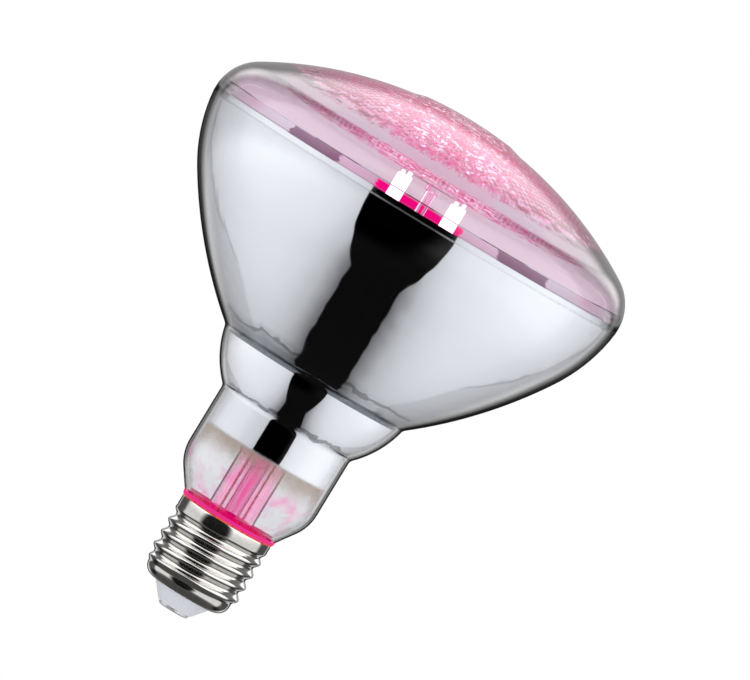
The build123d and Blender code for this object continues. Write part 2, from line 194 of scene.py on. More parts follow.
def body_places(inset, top=RIM_HEIGHT):
    """Places of the glass body's half section from its tail up to its top, moved inward by an inset."""
    neck_centre = (NECK_RADIUS - NECK_SHOULDER, NECK_BOTTOM)
    cone_top = on_circle(neck_centre, NECK_SHOULDER, -NECK_CONE)
    tail_across = TAIL_RADIUS + TAIL_FILLET
    touch = tail_across - TAIL_FILLET * cos(radians(NECK_CONE))
    drop = (cone_top[0] - touch) / tan(radians(NECK_CONE))
    tail_centre = (tail_across, cone_top[1] - drop - TAIL_FILLET * sin(radians(NECK_CONE)))

    waist_centre = (NECK_RADIUS + WAIST_FILLET, NECK_TOP)
    bulge_middle = BULGE_BELLY - BULGE_RADIUS
    rise = sqrt((BULGE_RADIUS + WAIST_FILLET) ** 2 - (waist_centre[0] - bulge_middle) ** 2)
    bulge_centre = (bulge_middle, NECK_TOP + rise)
    corner_drop = bulge_centre[1] - CORNER_HEIGHT
    corner = (bulge_middle + sqrt(BULGE_RADIUS ** 2 - corner_drop ** 2), CORNER_HEIGHT)

    shoulder_centre = on_circle((RIM_RADIUS, RIM_HEIGHT), SHOULDER_RADIUS, 180 - RIM_LEAN)
    flank_centre = meetings(shoulder_centre, FLANK_RADIUS - SHOULDER_RADIUS, corner, FLANK_RADIUS)[0]
    shoulder_angle = bearing(shoulder_centre, flank_centre) - 180
    corner_centre = meetings(bulge_centre, BULGE_RADIUS + CORNER_FILLET,
                             flank_centre, FLANK_RADIUS + CORNER_FILLET)[1]
    rim_angle = -degrees(asin((shoulder_centre[1] - top) / (SHOULDER_RADIUS - inset)))
    return chained(
        [(TAIL_RADIUS - inset, TAIL_BOTTOM)],
        arc(tail_centre, TAIL_FILLET + inset, 180, 180 - NECK_CONE),
        arc(neck_centre, NECK_SHOULDER - inset, -NECK_CONE, 0),
        arc(waist_centre, WAIST_FILLET + inset, 180, bearing(waist_centre, bulge_centre)),
        arc(bulge_centre, BULGE_RADIUS - inset,
            bearing(bulge_centre, waist_centre), bearing(bulge_centre, corner_centre)),
        arc(corner_centre, CORNER_FILLET + inset, bearing(corner_centre, bulge_centre) % 360,
            bearing(corner_centre, flank_centre) % 360, CORNER_STEP),
        arc(flank_centre, FLANK_RADIUS - inset,
            bearing(flank_centre, corner_centre), shoulder_angle, FLANK_STEP),
        arc(shoulder_centre, SHOULDER_RADIUS - inset, shoulder_angle, rim_angle))


def deselect():
    bpy.ops.object.select_all(action="DESELECT")


def take_up(piece):
    """Makes a piece the only selected one, and the active one."""
    deselect()
    piece.select_set(True)
    bpy.context.view_layer.objects.active = piece


def finished(piece, name, smooth_angle):
    """Names a piece and shades it smooth up to an angle."""
    piece.name = name
    piece.data.name = name
    take_up(piece)
    bpy.ops.object.shade_smooth_by_angle(angle=radians(smooth_angle))
    return piece


def spun(name, places, closed=False, smooth_angle=LENS_SMOOTH, fix_normals=True):
    """A half section drawn by extruding one point from place to place, then spun about the axis."""
    deselect()
    first = places[0]
    bpy.ops.mesh.primitive_plane_add(size=MM, location=(0, 0, 0))
    piece = bpy.context.object
    bpy.ops.object.mode_set(mode="EDIT")
    bpy.ops.mesh.select_all(action="SELECT")
    bpy.ops.mesh.merge(type="CENTER")
    bpy.ops.transform.translate(value=(first[0] * MM, 0, first[1] * MM))
    for start, end in zip(places, places[1:]):
        move = ((end[0] - start[0]) * MM, 0, (end[1] - start[1]) * MM)
        bpy.ops.mesh.extrude_vertices_move(TRANSFORM_OT_translate={"value": move})
    bpy.ops.mesh.select_all(action="SELECT")
    if closed:
        bpy.ops.mesh.remove_doubles(threshold=1e-7)
    bpy.ops.mesh.spin(steps=SPIN_STEPS, angle=2 * pi, center=(0, 0, 0), axis=(0, 0, 1))
    bpy.ops.mesh.select_all(action="SELECT")
    bpy.ops.mesh.remove_doubles(threshold=2e-7)
    if fix_normals:
        bpy.ops.mesh.normals_make_consistent(inside=False)
    bpy.ops.object.mode_set(mode="OBJECT")
    return finished(piece, name, smooth_angle)


def apply_modifier(piece, kind, **values):
    """Adds a modifier with its values and applies it."""
    take_up(piece)
    modifier = piece.modifiers.new(kind.title(), kind)
    for key, value in values.items():
        setattr(modifier, key, value)
    bpy.ops.object.modifier_apply(modifier=modifier.name)


def select_points(piece, wanted):
    """Selects the points of a piece whose place the test accepts, and stays in edit mode."""
    bpy.ops.object.mode_set(mode="EDIT")
    bpy.ops.mesh.select_mode(type="VERT")
    bpy.ops.mesh.select_all(action="DESELECT")
    bpy.ops.object.mode_set(mode="OBJECT")
    for point in piece.data.vertices:
        point.select = wanted(point.co)
    bpy.ops.object.mode_set(mode="EDIT")


def radius_of(place):
    """How far a place of a mesh is from the axis, in millimetres."""
    return hypot(place.x, place.y) / MM


def make_body():
    """The glass body, a wall between its outer and its inner half section."""
    outer = body_places(0)
    inner = body_places(BODY_WALL)
    rim = outer[-1]
    outer[-1] = (rim[0] - RIM_INSET, rim[1] - SEAM_CHAMFER)
    section = outer + [(rim[0] - SEAM_CHAMFER, rim[1])] + inner[::-1] + [outer[0]]
    body = spun("body_glass", section, closed=True, smooth_angle=BODY_SMOOTH)
    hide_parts("reflector_body")
    return body


def make_coat():
    """The mirror film, which stands a hair's breadth inside the glass."""
    sides = []
    for gap in (COAT_GAP, COAT_GAP + COAT_THICKNESS):
        wall = body_places(BODY_WALL + gap, COAT_TOP)
        sides.append([place for place in wall if place[1] > COAT_BOTTOM])
    outer, inner = sides
    coat = spun("mirror_coat", outer + inner[::-1] + [outer[0]], closed=True, smooth_angle=BODY_SMOOTH)
    return coat


def press_lenslets(sheet):
    """Presses the sheet's points down and up in turn, as on a draughtboard."""

    def colour_of(place):
        column = round(place.x / (LENSLET_STEP * MM))
        row = round(place.y / (LENSLET_STEP * MM))
        return (column + row) % 2

    for colour, way in ((0, -1), (1, 1)):
        for reach in PRESS_REACHES:
            select_points(sheet, lambda place: colour_of(place) == colour and radius_of(place) < reach)
            press = way * LENSLET_PRESS / len(PRESS_REACHES)
            bpy.ops.transform.translate(value=(0, 0, press * MM))
            bpy.ops.object.mode_set(mode="OBJECT")


def make_lenslets(dome, inner_dome):
    """A round sheet of squares laid on the inner dome, every second point pressed, then smoothed."""
    cap_end = degrees(acos((LENSLET_FIELD + FIELD_SPARE) / inner_dome))
    cap = spun("cap", arc(dome, inner_dome, 90, cap_end, DOME_STEP))
    deselect()
    across = 2 * ceil(LENSLET_FIELD / LENSLET_STEP)
    bpy.ops.mesh.primitive_grid_add(x_subdivisions=across, y_subdivisions=across,
                                    size=across * LENSLET_STEP * MM, location=(0, 0, 0))
    sheet = bpy.context.object
    select_points(sheet, lambda place: radius_of(place) > LENSLET_FIELD)
    bpy.ops.mesh.delete(type="VERT")
    bpy.ops.mesh.select_non_manifold(extend=False)
    bpy.ops.transform.tosphere(value=1.0)
    bpy.ops.object.mode_set(mode="OBJECT")
    apply_modifier(sheet, "SHRINKWRAP", target=cap, wrap_method="PROJECT", use_project_z=True,
                   use_negative_direction=True, use_positive_direction=True)
    press_lenslets(sheet)
    select_points(sheet, lambda place: radius_of(place) < JITTER_REACH)
    bpy.ops.transform.vertex_random(offset=LENSLET_JITTER * MM, seed=JITTER_SEED)
    bpy.ops.object.mode_set(mode="OBJECT")
    apply_modifier(sheet, "SUBSURF", levels=2, render_levels=2)
    take_up(cap)
    bpy.ops.object.delete()
    return sheet


def make_lens():
    """The pressed lens: a smooth dome with a raised disc outside, and staggered lenslets inside."""
    shoulder = (RIM_RADIUS - LENS_SHOULDER, RIM_HEIGHT + LENS_SKIRT)
    reach = LENS_DOME - LENS_SHOULDER
    dome = (0, shoulder[1] - sqrt(reach ** 2 - shoulder[0] ** 2))
    meeting = bearing(dome, shoulder)
    disc_angle = degrees(acos(DISC_RADIUS / LENS_DOME))
    disc_top = LENS_DOME + DISC_RISE
    disc_top_angle = degrees(acos((DISC_RADIUS - DISC_SLOPE) / disc_top))
    inner_dome = LENS_DOME - LENS_WALL
    field_angle = degrees(acos((LENSLET_FIELD + FIELD_MARGIN) / inner_dome))
    inner_shoulder = LENS_SHOULDER - LENS_WALL
    step_height = RIM_HEIGHT + LENS_RIM_HEIGHT
    step_angle = degrees(asin((step_height - shoulder[1]) / inner_shoulder))
    rebate_height = RIM_HEIGHT + LENS_REBATE
    rebate = [place for place in body_places(BODY_WALL, rebate_height) if place[1] > RIM_HEIGHT]
    rim_inner = RIM_RADIUS - LENS_RIM_WIDTH
    rim_bottom = body_places(BODY_WALL)[-1]
    section = chained(
        arc(dome, disc_top, 90, disc_top_angle, DOME_STEP),
        arc(dome, LENS_DOME, disc_angle, meeting, DOME_STEP),
        arc(shoulder, LENS_SHOULDER, meeting, 0, SHOULDER_STEP),
        [(RIM_RADIUS, RIM_HEIGHT + SEAM_CHAMFER), (RIM_RADIUS - SEAM_CHAMFER, RIM_HEIGHT), rim_bottom],
        rebate,
        [(rim_inner, rebate_height), (rim_inner, step_height - LENS_STEP_EDGE)],
        arc(shoulder, inner_shoulder, step_angle, meeting, SHOULDER_STEP),
        arc(dome, inner_dome, meeting, field_angle, INNER_DOME_STEP))
    lens = spun("lens", section, fix_normals=False)
    sheet = make_lenslets(dome, inner_dome)
    take_up(lens)
    sheet.select_set(True)
    bpy.ops.object.join()
    bpy.ops.object.mode_set(mode="EDIT")
    bpy.ops.mesh.select_mode(type="EDGE")
    bpy.ops.mesh.select_all(action="DESELECT")
    bpy.ops.mesh.select_non_manifold(extend=False)
    bpy.ops.mesh.bridge_edge_loops()
    bpy.ops.mesh.select_all(action="SELECT")
    bpy.ops.mesh.quads_convert_to_tris()
    bpy.ops.mesh.normals_make_consistent(inside=False)
    bpy.ops.object.mode_set(mode="OBJECT")
    finished(lens, "lens", LENS_SMOOTH)
    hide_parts("front_lens")
    return lens


def shell_rings():
    """Middle (x and y), radius and height of each ring of the shell, from its mouth up to the collar."""
    curl = (THREAD_ROOT - CURL_RADIUS, SHELL_BOTTOM + CURL_RADIUS)
    mouth = arc(curl, CURL_RADIUS, CURL_START, 0, CURL_STEP)[:-1]
    rings = [(0, 0, radius, height) for radius, height in mouth]
    count = round(THREAD_TURNS * THREAD_STEPS_PER_TURN)
    for index in range(count + 1):
        turns = index * THREAD_TURNS / count
        lower = min(1, turns / THREAD_FADE)
        upper = min(1, (THREAD_TURNS - turns) / THREAD_FADE)
        offset = THREAD_DEPTH / 2 * min(lower, upper)
        swell = (COLLAR_RADIUS - THREAD_ROOT) * (1 - upper)
        angle = radians(THREAD_START + 360 * turns)
        rings.append((offset * cos(angle), offset * sin(angle),
                      THREAD_ROOT + offset + swell, curl[1] + turns * THREAD_PITCH))
    rings.append((0, 0, COLLAR_RADIUS, SHELL_TOP - COLLAR_EDGE))
    rings.append((0, 0, COLLAR_RADIUS - COLLAR_TAPER, SHELL_TOP))
    return rings


def make_shell():
    """The screw shell, pulled up ring by ring, each ring moved out along the thread's winding."""
    rings = shell_rings()
    deselect()
    radius, height = rings[0][2:]
    bpy.ops.mesh.primitive_circle_add(vertices=SHELL_SIDES, radius=radius * MM,
                                      location=(0, 0, height * MM))
    shell = bpy.context.object
    bpy.ops.object.transform_apply(location=True, rotation=False, scale=False)
    bpy.ops.object.mode_set(mode="EDIT")
    bpy.ops.mesh.select_all(action="SELECT")
    for (x, y, radius, height), (next_x, next_y, next_radius, next_height) in zip(rings, rings[1:]):
        move = ((next_x - x) * MM, (next_y - y) * MM, (next_height - height) * MM)
        bpy.ops.mesh.extrude_edges_move(TRANSFORM_OT_translate={"value": move})
        scale = next_radius / radius
        centre = (next_x * MM, next_y * MM, next_height * MM)
        bpy.ops.transform.resize(value=(scale, scale, 1), center_override=centre)
    bpy.ops.mesh.select_all(action="SELECT")
    bpy.ops.mesh.normals_make_consistent(inside=False)
    bpy.ops.object.mode_set(mode="OBJECT")
    apply_modifier(shell, "SOLIDIFY", thickness=SHELL_WALL * MM, offset=-1.0)
    finished(shell, "screw_shell_rolled", SHELL_SMOOTH)
    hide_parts("screw_shell")
    return shell


class Wires:
    """Short ways to add and link the nodes of one tree."""

    def __init__(self, tree):
        self.tree = tree

    def put(self, value, socket):
        """Links an output to a socket, or sets the socket's own value."""
        if isinstance(value, bpy.types.NodeSocket):
            self.tree.links.new(value, socket)
        else:
            socket.default_value = tuple(value) + (1.0,) if hasattr(value, "__len__") else value

    def math(self, operation, *values):
        node = self.tree.nodes.new("ShaderNodeMath")
        node.operation = operation
        for value, socket in zip(values, node.inputs):
            self.put(value, socket)
        return node.outputs[0]

    def times(self, first, *others):
        """The product of all values."""
        for other in others:
            first = self.math("MULTIPLY", first, other)
        return first

    def smooth(self, value, low, high, start=0.0, end=1.0):
        """A smooth step from start at low to end at high."""
        node = self.tree.nodes.new("ShaderNodeMapRange")
        node.interpolation_type = "SMOOTHSTEP"
        for key, given in (("Value", value), ("From Min", low), ("From Max", high),
                           ("To Min", start), ("To Max", end)):
            self.put(given, node.inputs[key])
        return node.outputs[0]

    def levels(self, value, *stops):
        """A level that follows straight runs between stops, each a place and a level."""
        node = self.tree.nodes.new("ShaderNodeValToRGB")
        elements = node.color_ramp.elements
        while len(elements) < len(stops):
            elements.new(0.5)
        for element, (place, level) in zip(elements, stops):
            element.position = place
            element.color = (level, level, level, 1)
        self.put(value, node.inputs["Fac"])
        return node.outputs["Color"]

    def mix(self, factor, first, second):
        """A colour between two. The node's sockets of one name are told apart by their number."""
        node = self.tree.nodes.new("ShaderNodeMix")
        node.data_type = "RGBA"
        for socket, value in zip((node.inputs["Factor"], node.inputs[6], node.inputs[7]),
                                 (factor, first, second)):
            self.put(value, socket)
        return node.outputs[2]

    def split(self, vector):
        node = self.tree.nodes.new("ShaderNodeSeparateXYZ")
        self.put(vector, node.inputs[0])
        return node.outputs

    def object_place(self):
        """The place on the piece in millimetres."""
        node = self.tree.nodes.new("ShaderNodeVectorMath")
        node.operation = "SCALE"
        node.inputs["Scale"].default_value = 1 / MM
        place = self.tree.nodes.new("ShaderNodeTexCoord").outputs["Object"]
        self.tree.links.new(place, node.inputs[0])
        return node.outputs[0]

    def from_axis(self, x, y):
        """The distance of a place from the axis."""
        return self.math("SQRT", self.math("MULTIPLY_ADD", x, x, self.times(y, y)))

    def noise(self, vector, scale, detail=2.0):
        node = self.tree.nodes.new("ShaderNodeTexNoise")
        self.put(vector, node.inputs["Vector"])
        self.put(scale, node.inputs["Scale"])
        node.inputs["Detail"].default_value = detail
        return node.outputs[0]

    def met(self, depth):
        """One for a ray that has met at least one surface of the kind that a Light Path depth counts."""
        paths = self.tree.nodes.new("ShaderNodeLightPath").outputs
        return self.math("GREATER_THAN", paths[depth], 0.5)


class Effect(Wires):
    """A node group with named inputs and outputs."""

    def __init__(self, name, **inputs):
        super().__init__(bpy.data.node_groups.new(name, "ShaderNodeTree"))
        for key, value in inputs.items():
            kind = "NodeSocketColor" if hasattr(value, "__len__") else "NodeSocketFloat"
            socket = self.tree.interface.new_socket(name=key, in_out="INPUT", socket_type=kind)
            self.put(value, socket)
        self.given = self.tree.nodes.new("NodeGroupInput").outputs
        self.end = self.tree.nodes.new("NodeGroupOutput")

    def give(self, **outputs):
        for key, value in outputs.items():
            kind = "NodeSocketColor" if key == "Color" else "NodeSocketFloat"
            self.tree.interface.new_socket(name=key, in_out="OUTPUT", socket_type=kind)
            self.put(value, self.end.inputs[key])
        return self.tree


class Finish(Wires):
    """One material: a Principled shader, with the effects that feed it."""

    def __init__(self, name, **values):
        self.material = bpy.data.materials.new(name)
        self.material.use_nodes = True
        super().__init__(self.material.node_tree)
        self.tree.nodes.clear()
        output = self.tree.nodes.new("ShaderNodeOutputMaterial")
        self.shader = self.tree.nodes.new("ShaderNodeBsdfPrincipled")
        self.put(self.shader.outputs[0], output.inputs["Surface"])
        self.feed(**values)

    def feed(self, **values):
        """Sets or links sockets of the shader, each named with underscores for its spaces."""
        for key, value in values.items():
            self.put(value, self.shader.inputs[key.replace("_", " ")])
        return self

    def effect(self, group, **values):
        """The outputs of a node group, which is given its own values here."""
        node = self.tree.nodes.new("ShaderNodeGroup")
        node.node_tree = group
        for key, value in values.items():
            self.put(value, node.inputs[key])
        return node.outputs

    def bump(self, height, strength, distance):
        node = self.tree.nodes.new("ShaderNodeBump")
        node.inputs["Strength"].default_value = strength
        node.inputs["Distance"].default_value = distance
        self.put(height, node.inputs["Height"])
        return self.feed(Normal=node.outputs["Normal"])

    def on(self, *pieces):
        for piece in pieces:
            piece.data.materials.clear()
            piece.data.materials.append(self.material)
        return self


def grain_effect():
    """Two colours mixed by a grain sized in millimetres, and a roughness and a height that follow it."""
    effect = Effect("grain", Size=0.8, Dark=(0.5, 0.5, 0.5), Light=(0.6, 0.6, 0.6), Smooth=0.2, Rough=0.3)
    given = effect.given
    noise = effect.noise(effect.object_place(), effect.math("DIVIDE", 1.0, given["Size"]), 4.0)
    mask = effect.smooth(noise, 0.35, 0.65)
    return effect.give(Color=effect.mix(mask, given["Dark"], given["Light"]),
                       Roughness=effect.smooth(noise, 0.35, 0.65, given["Smooth"], given["Rough"]),
                       Height=noise)


def band_effect():
    """A mask by height in millimetres, from one at Full to nothing at Bare."""
    effect = Effect("height_band", Full=1.0, Bare=0.0)
    height = effect.split(effect.object_place())["Z"]
    return effect.give(Mask=effect.smooth(height, effect.given["Bare"], effect.given["Full"]))


def round_effect():
    """A mask by distance from the axis in millimetres, from one at Full to nothing at Bare."""
    effect = Effect("round_band", Full=0.0, Bare=1.0)
    place = effect.split(effect.object_place())
    away = effect.from_axis(place["X"], place["Y"])
    # The step runs from Full outward, so its ends are swapped.
    return effect.give(Mask=effect.smooth(away, effect.given["Full"], effect.given["Bare"], 1.0, 0.0))


def streak_effect():
    """Upright streaks round the axis: a mask that changes with the bearing and hardly with height."""
    effect = Effect("upright_streaks", Size=1.0, Low=0.45, High=0.6)
    place = effect.split(effect.object_place())
    combine = effect.tree.nodes.new("ShaderNodeCombineXYZ")
    effect.put(place["X"], combine.inputs["X"])
    effect.put(place["Y"], combine.inputs["Y"])
    effect.put(effect.times(place["Z"], 0.02), combine.inputs["Z"])
    noise = effect.noise(combine.outputs[0], effect.math("DIVIDE", 1.0, effect.given["Size"]))
    return effect.give(Mask=effect.smooth(noise, effect.given["Low"], effect.given["High"]))


def lenslet_effect():
    """A mask of the flanks of the lenslets that are steep along the line from the lens's middle."""
    effect = Effect("lenslet_slope", Low=0.05, High=0.2, Dome=100.0)
    place = effect.split(effect.object_place())
    facing = effect.split(effect.tree.nodes.new("ShaderNodeNewGeometry").outputs["Normal"])
    away = effect.math("MAXIMUM", effect.from_axis(place["X"], place["Y"]), 0.1)
    along = effect.math("MULTIPLY_ADD", place["X"], facing["X"], effect.times(place["Y"], facing["Y"]))
    slope = effect.math("ADD", effect.math("DIVIDE", along, away),
                        effect.math("DIVIDE", away, effect.given["Dome"]))
    steep = effect.math("ABSOLUTE", slope)
    return effect.give(Mask=effect.smooth(steep, effect.given["Low"], effect.given["High"]))


GRAIN = grain_effect()
BAND = band_effect()
ROUND = round_effect()
STREAKS = streak_effect()
LENSLETS = lenslet_effect()


def finish_body(body):
    """Clear glass, with a painted pink ring that glows at its foot where it meets the cement, and painted
    pink light smeared through the neck.
    """
    glass = Finish("body_glass", Roughness=0.0, IOR=1.47, Transmission_Weight=1.0, Emission_Strength=1.0)
    # Painted light: the pink ring at the foot of the glass glows, standing in for the lamp's light gathered
    # where the glass meets the cement.
    foot = glass.effect(BAND, Full=BEAD_TOP - 0.1, Bare=BEAD_TOP + 0.3)["Mask"]
    # Painted light: pink patches in the neck stand in for the lamp's light shining down through the stem.
    pink_light_smear = glass.smooth(glass.noise(glass.object_place(), 0.17), 0.52, 0.64)
    pink_light_smear = glass.times(pink_light_smear, glass.effect(BAND, Full=38.0, Bare=44.0)["Mask"])
    clear = glass.mix(pink_light_smear, CLEAR_GREY, (0.93, 0.62, 0.78))
    glass.feed(Base_Color=glass.mix(foot, clear, PAINTED_RING_PINK),
               Emission_Color=glass.mix(foot, BLACK, (0.3, 0.0, 0.08)))
    glass.on(body)


def coat_mask(finish):
    """A mask of the mirror coat down to its soft lower edge."""
    return finish.effect(BAND, Full=COAT_EDGE, Bare=COAT_EDGE - COAT_EDGE_SOFTNESS)["Mask"]


def outer_film():
    """The mirror film: silver, with a painted shade and a painted dark rippled reflection at the bowl's
    foot, and a brown haze below its lower edge.
    """
    film = Finish("mirror_film")
    place = film.object_place()
    parts = film.split(place)
    x, height = parts["X"], parts["Z"]
    coated = coat_mask(film)
    haze = film.effect(BAND, Full=COAT_EDGE - 0.5, Bare=COAT_FADE_BOTTOM)["Mask"]
    thin = film.smooth(film.noise(place, 0.12), 0.35, 0.65, 0.4, 0.8)

    # At the bowl's foot lie a painted shade, deeper on the left, and a painted dark rippled reflection. One
    # thin painted dark reflection line runs above them and one above the neck.
    rippled = film.math("ADD", height, film.math("MULTIPLY_ADD", film.noise(place, 0.16, 3.0), 5.0, -2.5))
    bowl = film.smooth(height, 69.3, 69.6)
    foot = film.times(film.smooth(rippled, 72.2, 70.9), bowl)
    shade = film.times(film.smooth(rippled, 77.0, 72.0), film.smooth(x, 18.0, -6.0, 0.25, 0.75), bowl)
    silver = film.mix(shade, (0.95, 0.965, 0.99), (0.25, 0.28, 0.31))
    silver = film.mix(foot, silver, (0.2, 0.22, 0.25))
    for line_height, width, strength in ((74.6, 0.25, 0.45), (58.1, 0.3, 0.4)):
        gap = film.math("ABSOLUTE", film.math("SUBTRACT", rippled, line_height))
        beside = film.smooth(gap, width, width * 2, strength, 1.0)
        silver = film.mix(beside, (0.1, 0.1, 0.1), silver)

    film.feed(Base_Color=film.mix(coated, (0.8, 0.62, 0.43), silver),
              Alpha=film.math("MAXIMUM", coated, film.times(haze, thin)),
              Metallic=coated, Roughness=film.math("MULTIPLY_ADD", coated, -0.885, 0.9))
    return film.bump(film.noise(place, 0.06), 0.3, 0.6 * MM)


def inner_film():
    """The film's inner side, painted with the lamp's light: silver that glows faintly, with painted shade
    patches and painted pink flares beside the filaments.
    """
    film = Finish("mirror_film_lit", Metallic=1.0, Roughness=0.3, Emission_Strength=1.0)
    place = film.object_place()
    parts = film.split(place)
    x, height = parts["X"], parts["Z"]
    beside = film.math("ADD", film.math("ABSOLUTE", x), -1.5)
    beside = film.math("MULTIPLY_ADD", film.noise(place, 0.5, 4.0), 3.0, beside)
    # Painted shade: darker patches to either side of the filaments. Painted light: pink flares beside them,
    # which also shine.
    shade = film.times(film.smooth(beside, 24.5, 25.5), film.smooth(beside, 40.6, 40.0))
    flare = film.times(film.smooth(beside, 14.0, 13.0), film.smooth(height, 108.0, 110.0))
    silver = film.mix(shade, (0.7, 0.82, 0.82), (0.25, 0.18, 0.26))
    painted_glow = film.mix(shade, (0.17, 0.19, 0.2), (0.05, 0.03, 0.05))
    return film.feed(Alpha=coat_mask(film), Base_Color=film.mix(flare, silver, (0.4, 0.01, 0.15)),
                     Emission_Color=film.mix(flare, painted_glow, (0.8, 0.0, 0.2)))


def finish_coat(coat):
    """The mirror coat, with a finish of its own, which carries painted lamp light, on the faces that look
    at the axis.
    """
    outer_film().on(coat)
    coat.data.materials.append(inner_film().material)
    for face in coat.data.polygons:
        across = Vector((face.center.x, face.center.y, 0))
        inward = face.normal.dot(across) < 0
        face.material_index = 1 if inward else 0


def outer_lens():
    """The clear outside of the lens, lilac with painted pink light in the middle, and grey at its rim."""
    glass = Finish("lens_glass", Roughness=0.0, IOR=1.47, Transmission_Weight=1.0)
    middle = glass.effect(ROUND, Full=34.0, Bare=54.0)["Mask"]
    rim = glass.effect(BAND, Full=COAT_TOP, Bare=COAT_TOP + 0.3)["Mask"]
    lilac_and_painted_pink = glass.mix(middle, (0.87, 0.75, 0.83), (0.96, 0.78, 0.88))
    return glass.feed(Base_Color=glass.mix(rim, lilac_and_painted_pink, CLEAR_GREY))


def inner_lens():
    """The lenslets, with the pink light of the filaments painted in as deep pink flecks and painted white
    glints.
    """
    glass = Finish("lenslet_glass", Roughness=0.0, IOR=1.47, Transmission_Weight=1.0, Emission_Strength=1.0)
    place = glass.object_place()
    # Painted light: steep lenslet flanks and random flecks are tinted deep pink and shine, standing in for
    # the filaments' light.
    steep = glass.effect(LENSLETS, Low=0.1, High=0.2)["Mask"]
    middle = glass.effect(ROUND, Full=20.0, Bare=60.0)["Mask"]
    painted_pink_fleck = glass.smooth(glass.noise(place, 0.42), 0.47, 0.43)
    painted_pink_light = glass.math("MAXIMUM", glass.times(steep, 0.6), painted_pink_fleck)
    deep = glass.mix(middle, (0.75, 0.1, 0.4), (0.72, 0.015, 0.2))

    # Painted highlights: white glints that shine in a band either side of the middle, running front to
    # back.
    aside = glass.math("ABSOLUTE", glass.split(place)["X"])
    painted_glint = glass.times(glass.smooth(aside, 26.0, 12.0), glass.effect(ROUND, Full=36.0, Bare=45.0)["Mask"],
                        glass.smooth(glass.noise(place, 0.55), 0.56, 0.6))
    painted_sparkle = glass.mix(painted_glint, BLACK, (1.2, 1.1, 1.2))
    return glass.feed(Base_Color=glass.mix(painted_pink_light, (0.94, 0.6, 0.78), deep),
                      Emission_Color=glass.mix(glass.times(painted_pink_light, middle), painted_sparkle, (0.26, 0.0, 0.07)))


def finish_lens(lens):
    """The lens, with a finish of its own, which carries painted light, on the faces of the lenslets."""
    outer_lens().on(lens)
    lens.data.materials.append(inner_lens().material)
    for face in lens.data.polygons:
        if face.normal.z < 0 and radius_of(face.center) < LENSLET_FIELD:
            face.material_index = 1


def finish_stem():
    """Clear glass with painted upright streaks of the lamp's pink light, which also shine faintly."""
    glass = Finish("stem_glass", Roughness=0.0, IOR=1.5, Transmission_Weight=1.0, Emission_Strength=1.0)
    streaks = glass.effect(STREAKS, Size=0.22, Low=0.47, High=0.55)["Mask"]
    glass.feed(Base_Color=glass.mix(streaks, (1.0, 0.99, 0.995), (0.95, 0.55, 0.76)),
               Emission_Color=glass.mix(streaks, BLACK, (0.1, 0.0, 0.03)))
    glass.on(nodes["stem_flare"], nodes["exhaust_tube"], nodes["centre_post"])


def finish_filaments():
    """A lit coating that looks white in a direct view, and hot pink where a mirror shows it."""
    coating = Finish("filament_coating", Base_Color=(1.0, 0.85, 0.9), Roughness=0.5, Emission_Strength=1.0)
    mirrored = coating.met("Glossy Depth")
    coating.feed(Emission_Color=coating.mix(mirrored, (3.0, 2.0, 2.5), (3.2, 0.12, 0.75)))
    coating.on(*[nodes[f"led_filament_{index}"] for index in range(1, 5)])


def finish_bead():
    """Cement painted red-orange below, standing in for lamp light and a reflection, and a painted pink ring
    of lamp light against the glass; both shine faintly.
    """
    bead = Finish("bead_cement", Roughness=0.6, Emission_Strength=1.0)
    # Painted light: the pink ring and the red-orange below stand in for the lamp's light on the cement, and
    # both shine faintly.
    top = bead.effect(BAND, Full=BEAD_TOP - 0.85, Bare=BEAD_TOP - 1.1)["Mask"]
    rough = bead.smooth(bead.noise(bead.object_place(), 1.2, 4.0), 0.4, 0.6)
    low = bead.mix(rough, (0.6, 0.03, 0.02), (0.85, 0.12, 0.03))
    bead.feed(Base_Color=bead.mix(top, low, PAINTED_RING_PINK),
              Emission_Color=bead.mix(top, (0.12, 0.0, 0.0), (0.25, 0.0, 0.06)))
    bead.bump(rough, 0.1, 0.1 * MM).on(nodes["basing_cement"])


def grained(name, dark, light, smooth, rough, bump=0.05, **values):
    """A material whose colour, roughness and bump all follow one grain."""
    finish = Finish(name, **values)
    grain = finish.effect(GRAIN, Size=0.8, Dark=dark, Light=light, Smooth=smooth, Rough=rough)
    finish.feed(Base_Color=grain["Color"], Roughness=grain["Roughness"])
    return finish.bump(grain["Height"], bump, 0.02 * MM)


def finish_base(shell):
    """The bright metal and the white insert of the base."""
    grained("nickel_plate", (0.66, 0.64, 0.61), (0.72, 0.71, 0.69), 0.09, 0.13, bump=0.01, Metallic=1.0).on(
        shell)
    grained("insulator_glaze", (0.69, 0.71, 0.77), (0.71, 0.73, 0.79), 0.3, 0.35, bump=0.01).on(
        nodes["cap_insulator"])
    grained("contact_plate", (0.7, 0.7, 0.72), (0.8, 0.8, 0.82), 0.3, 0.4, Metallic=0.6).on(
        nodes["centre_contact"])


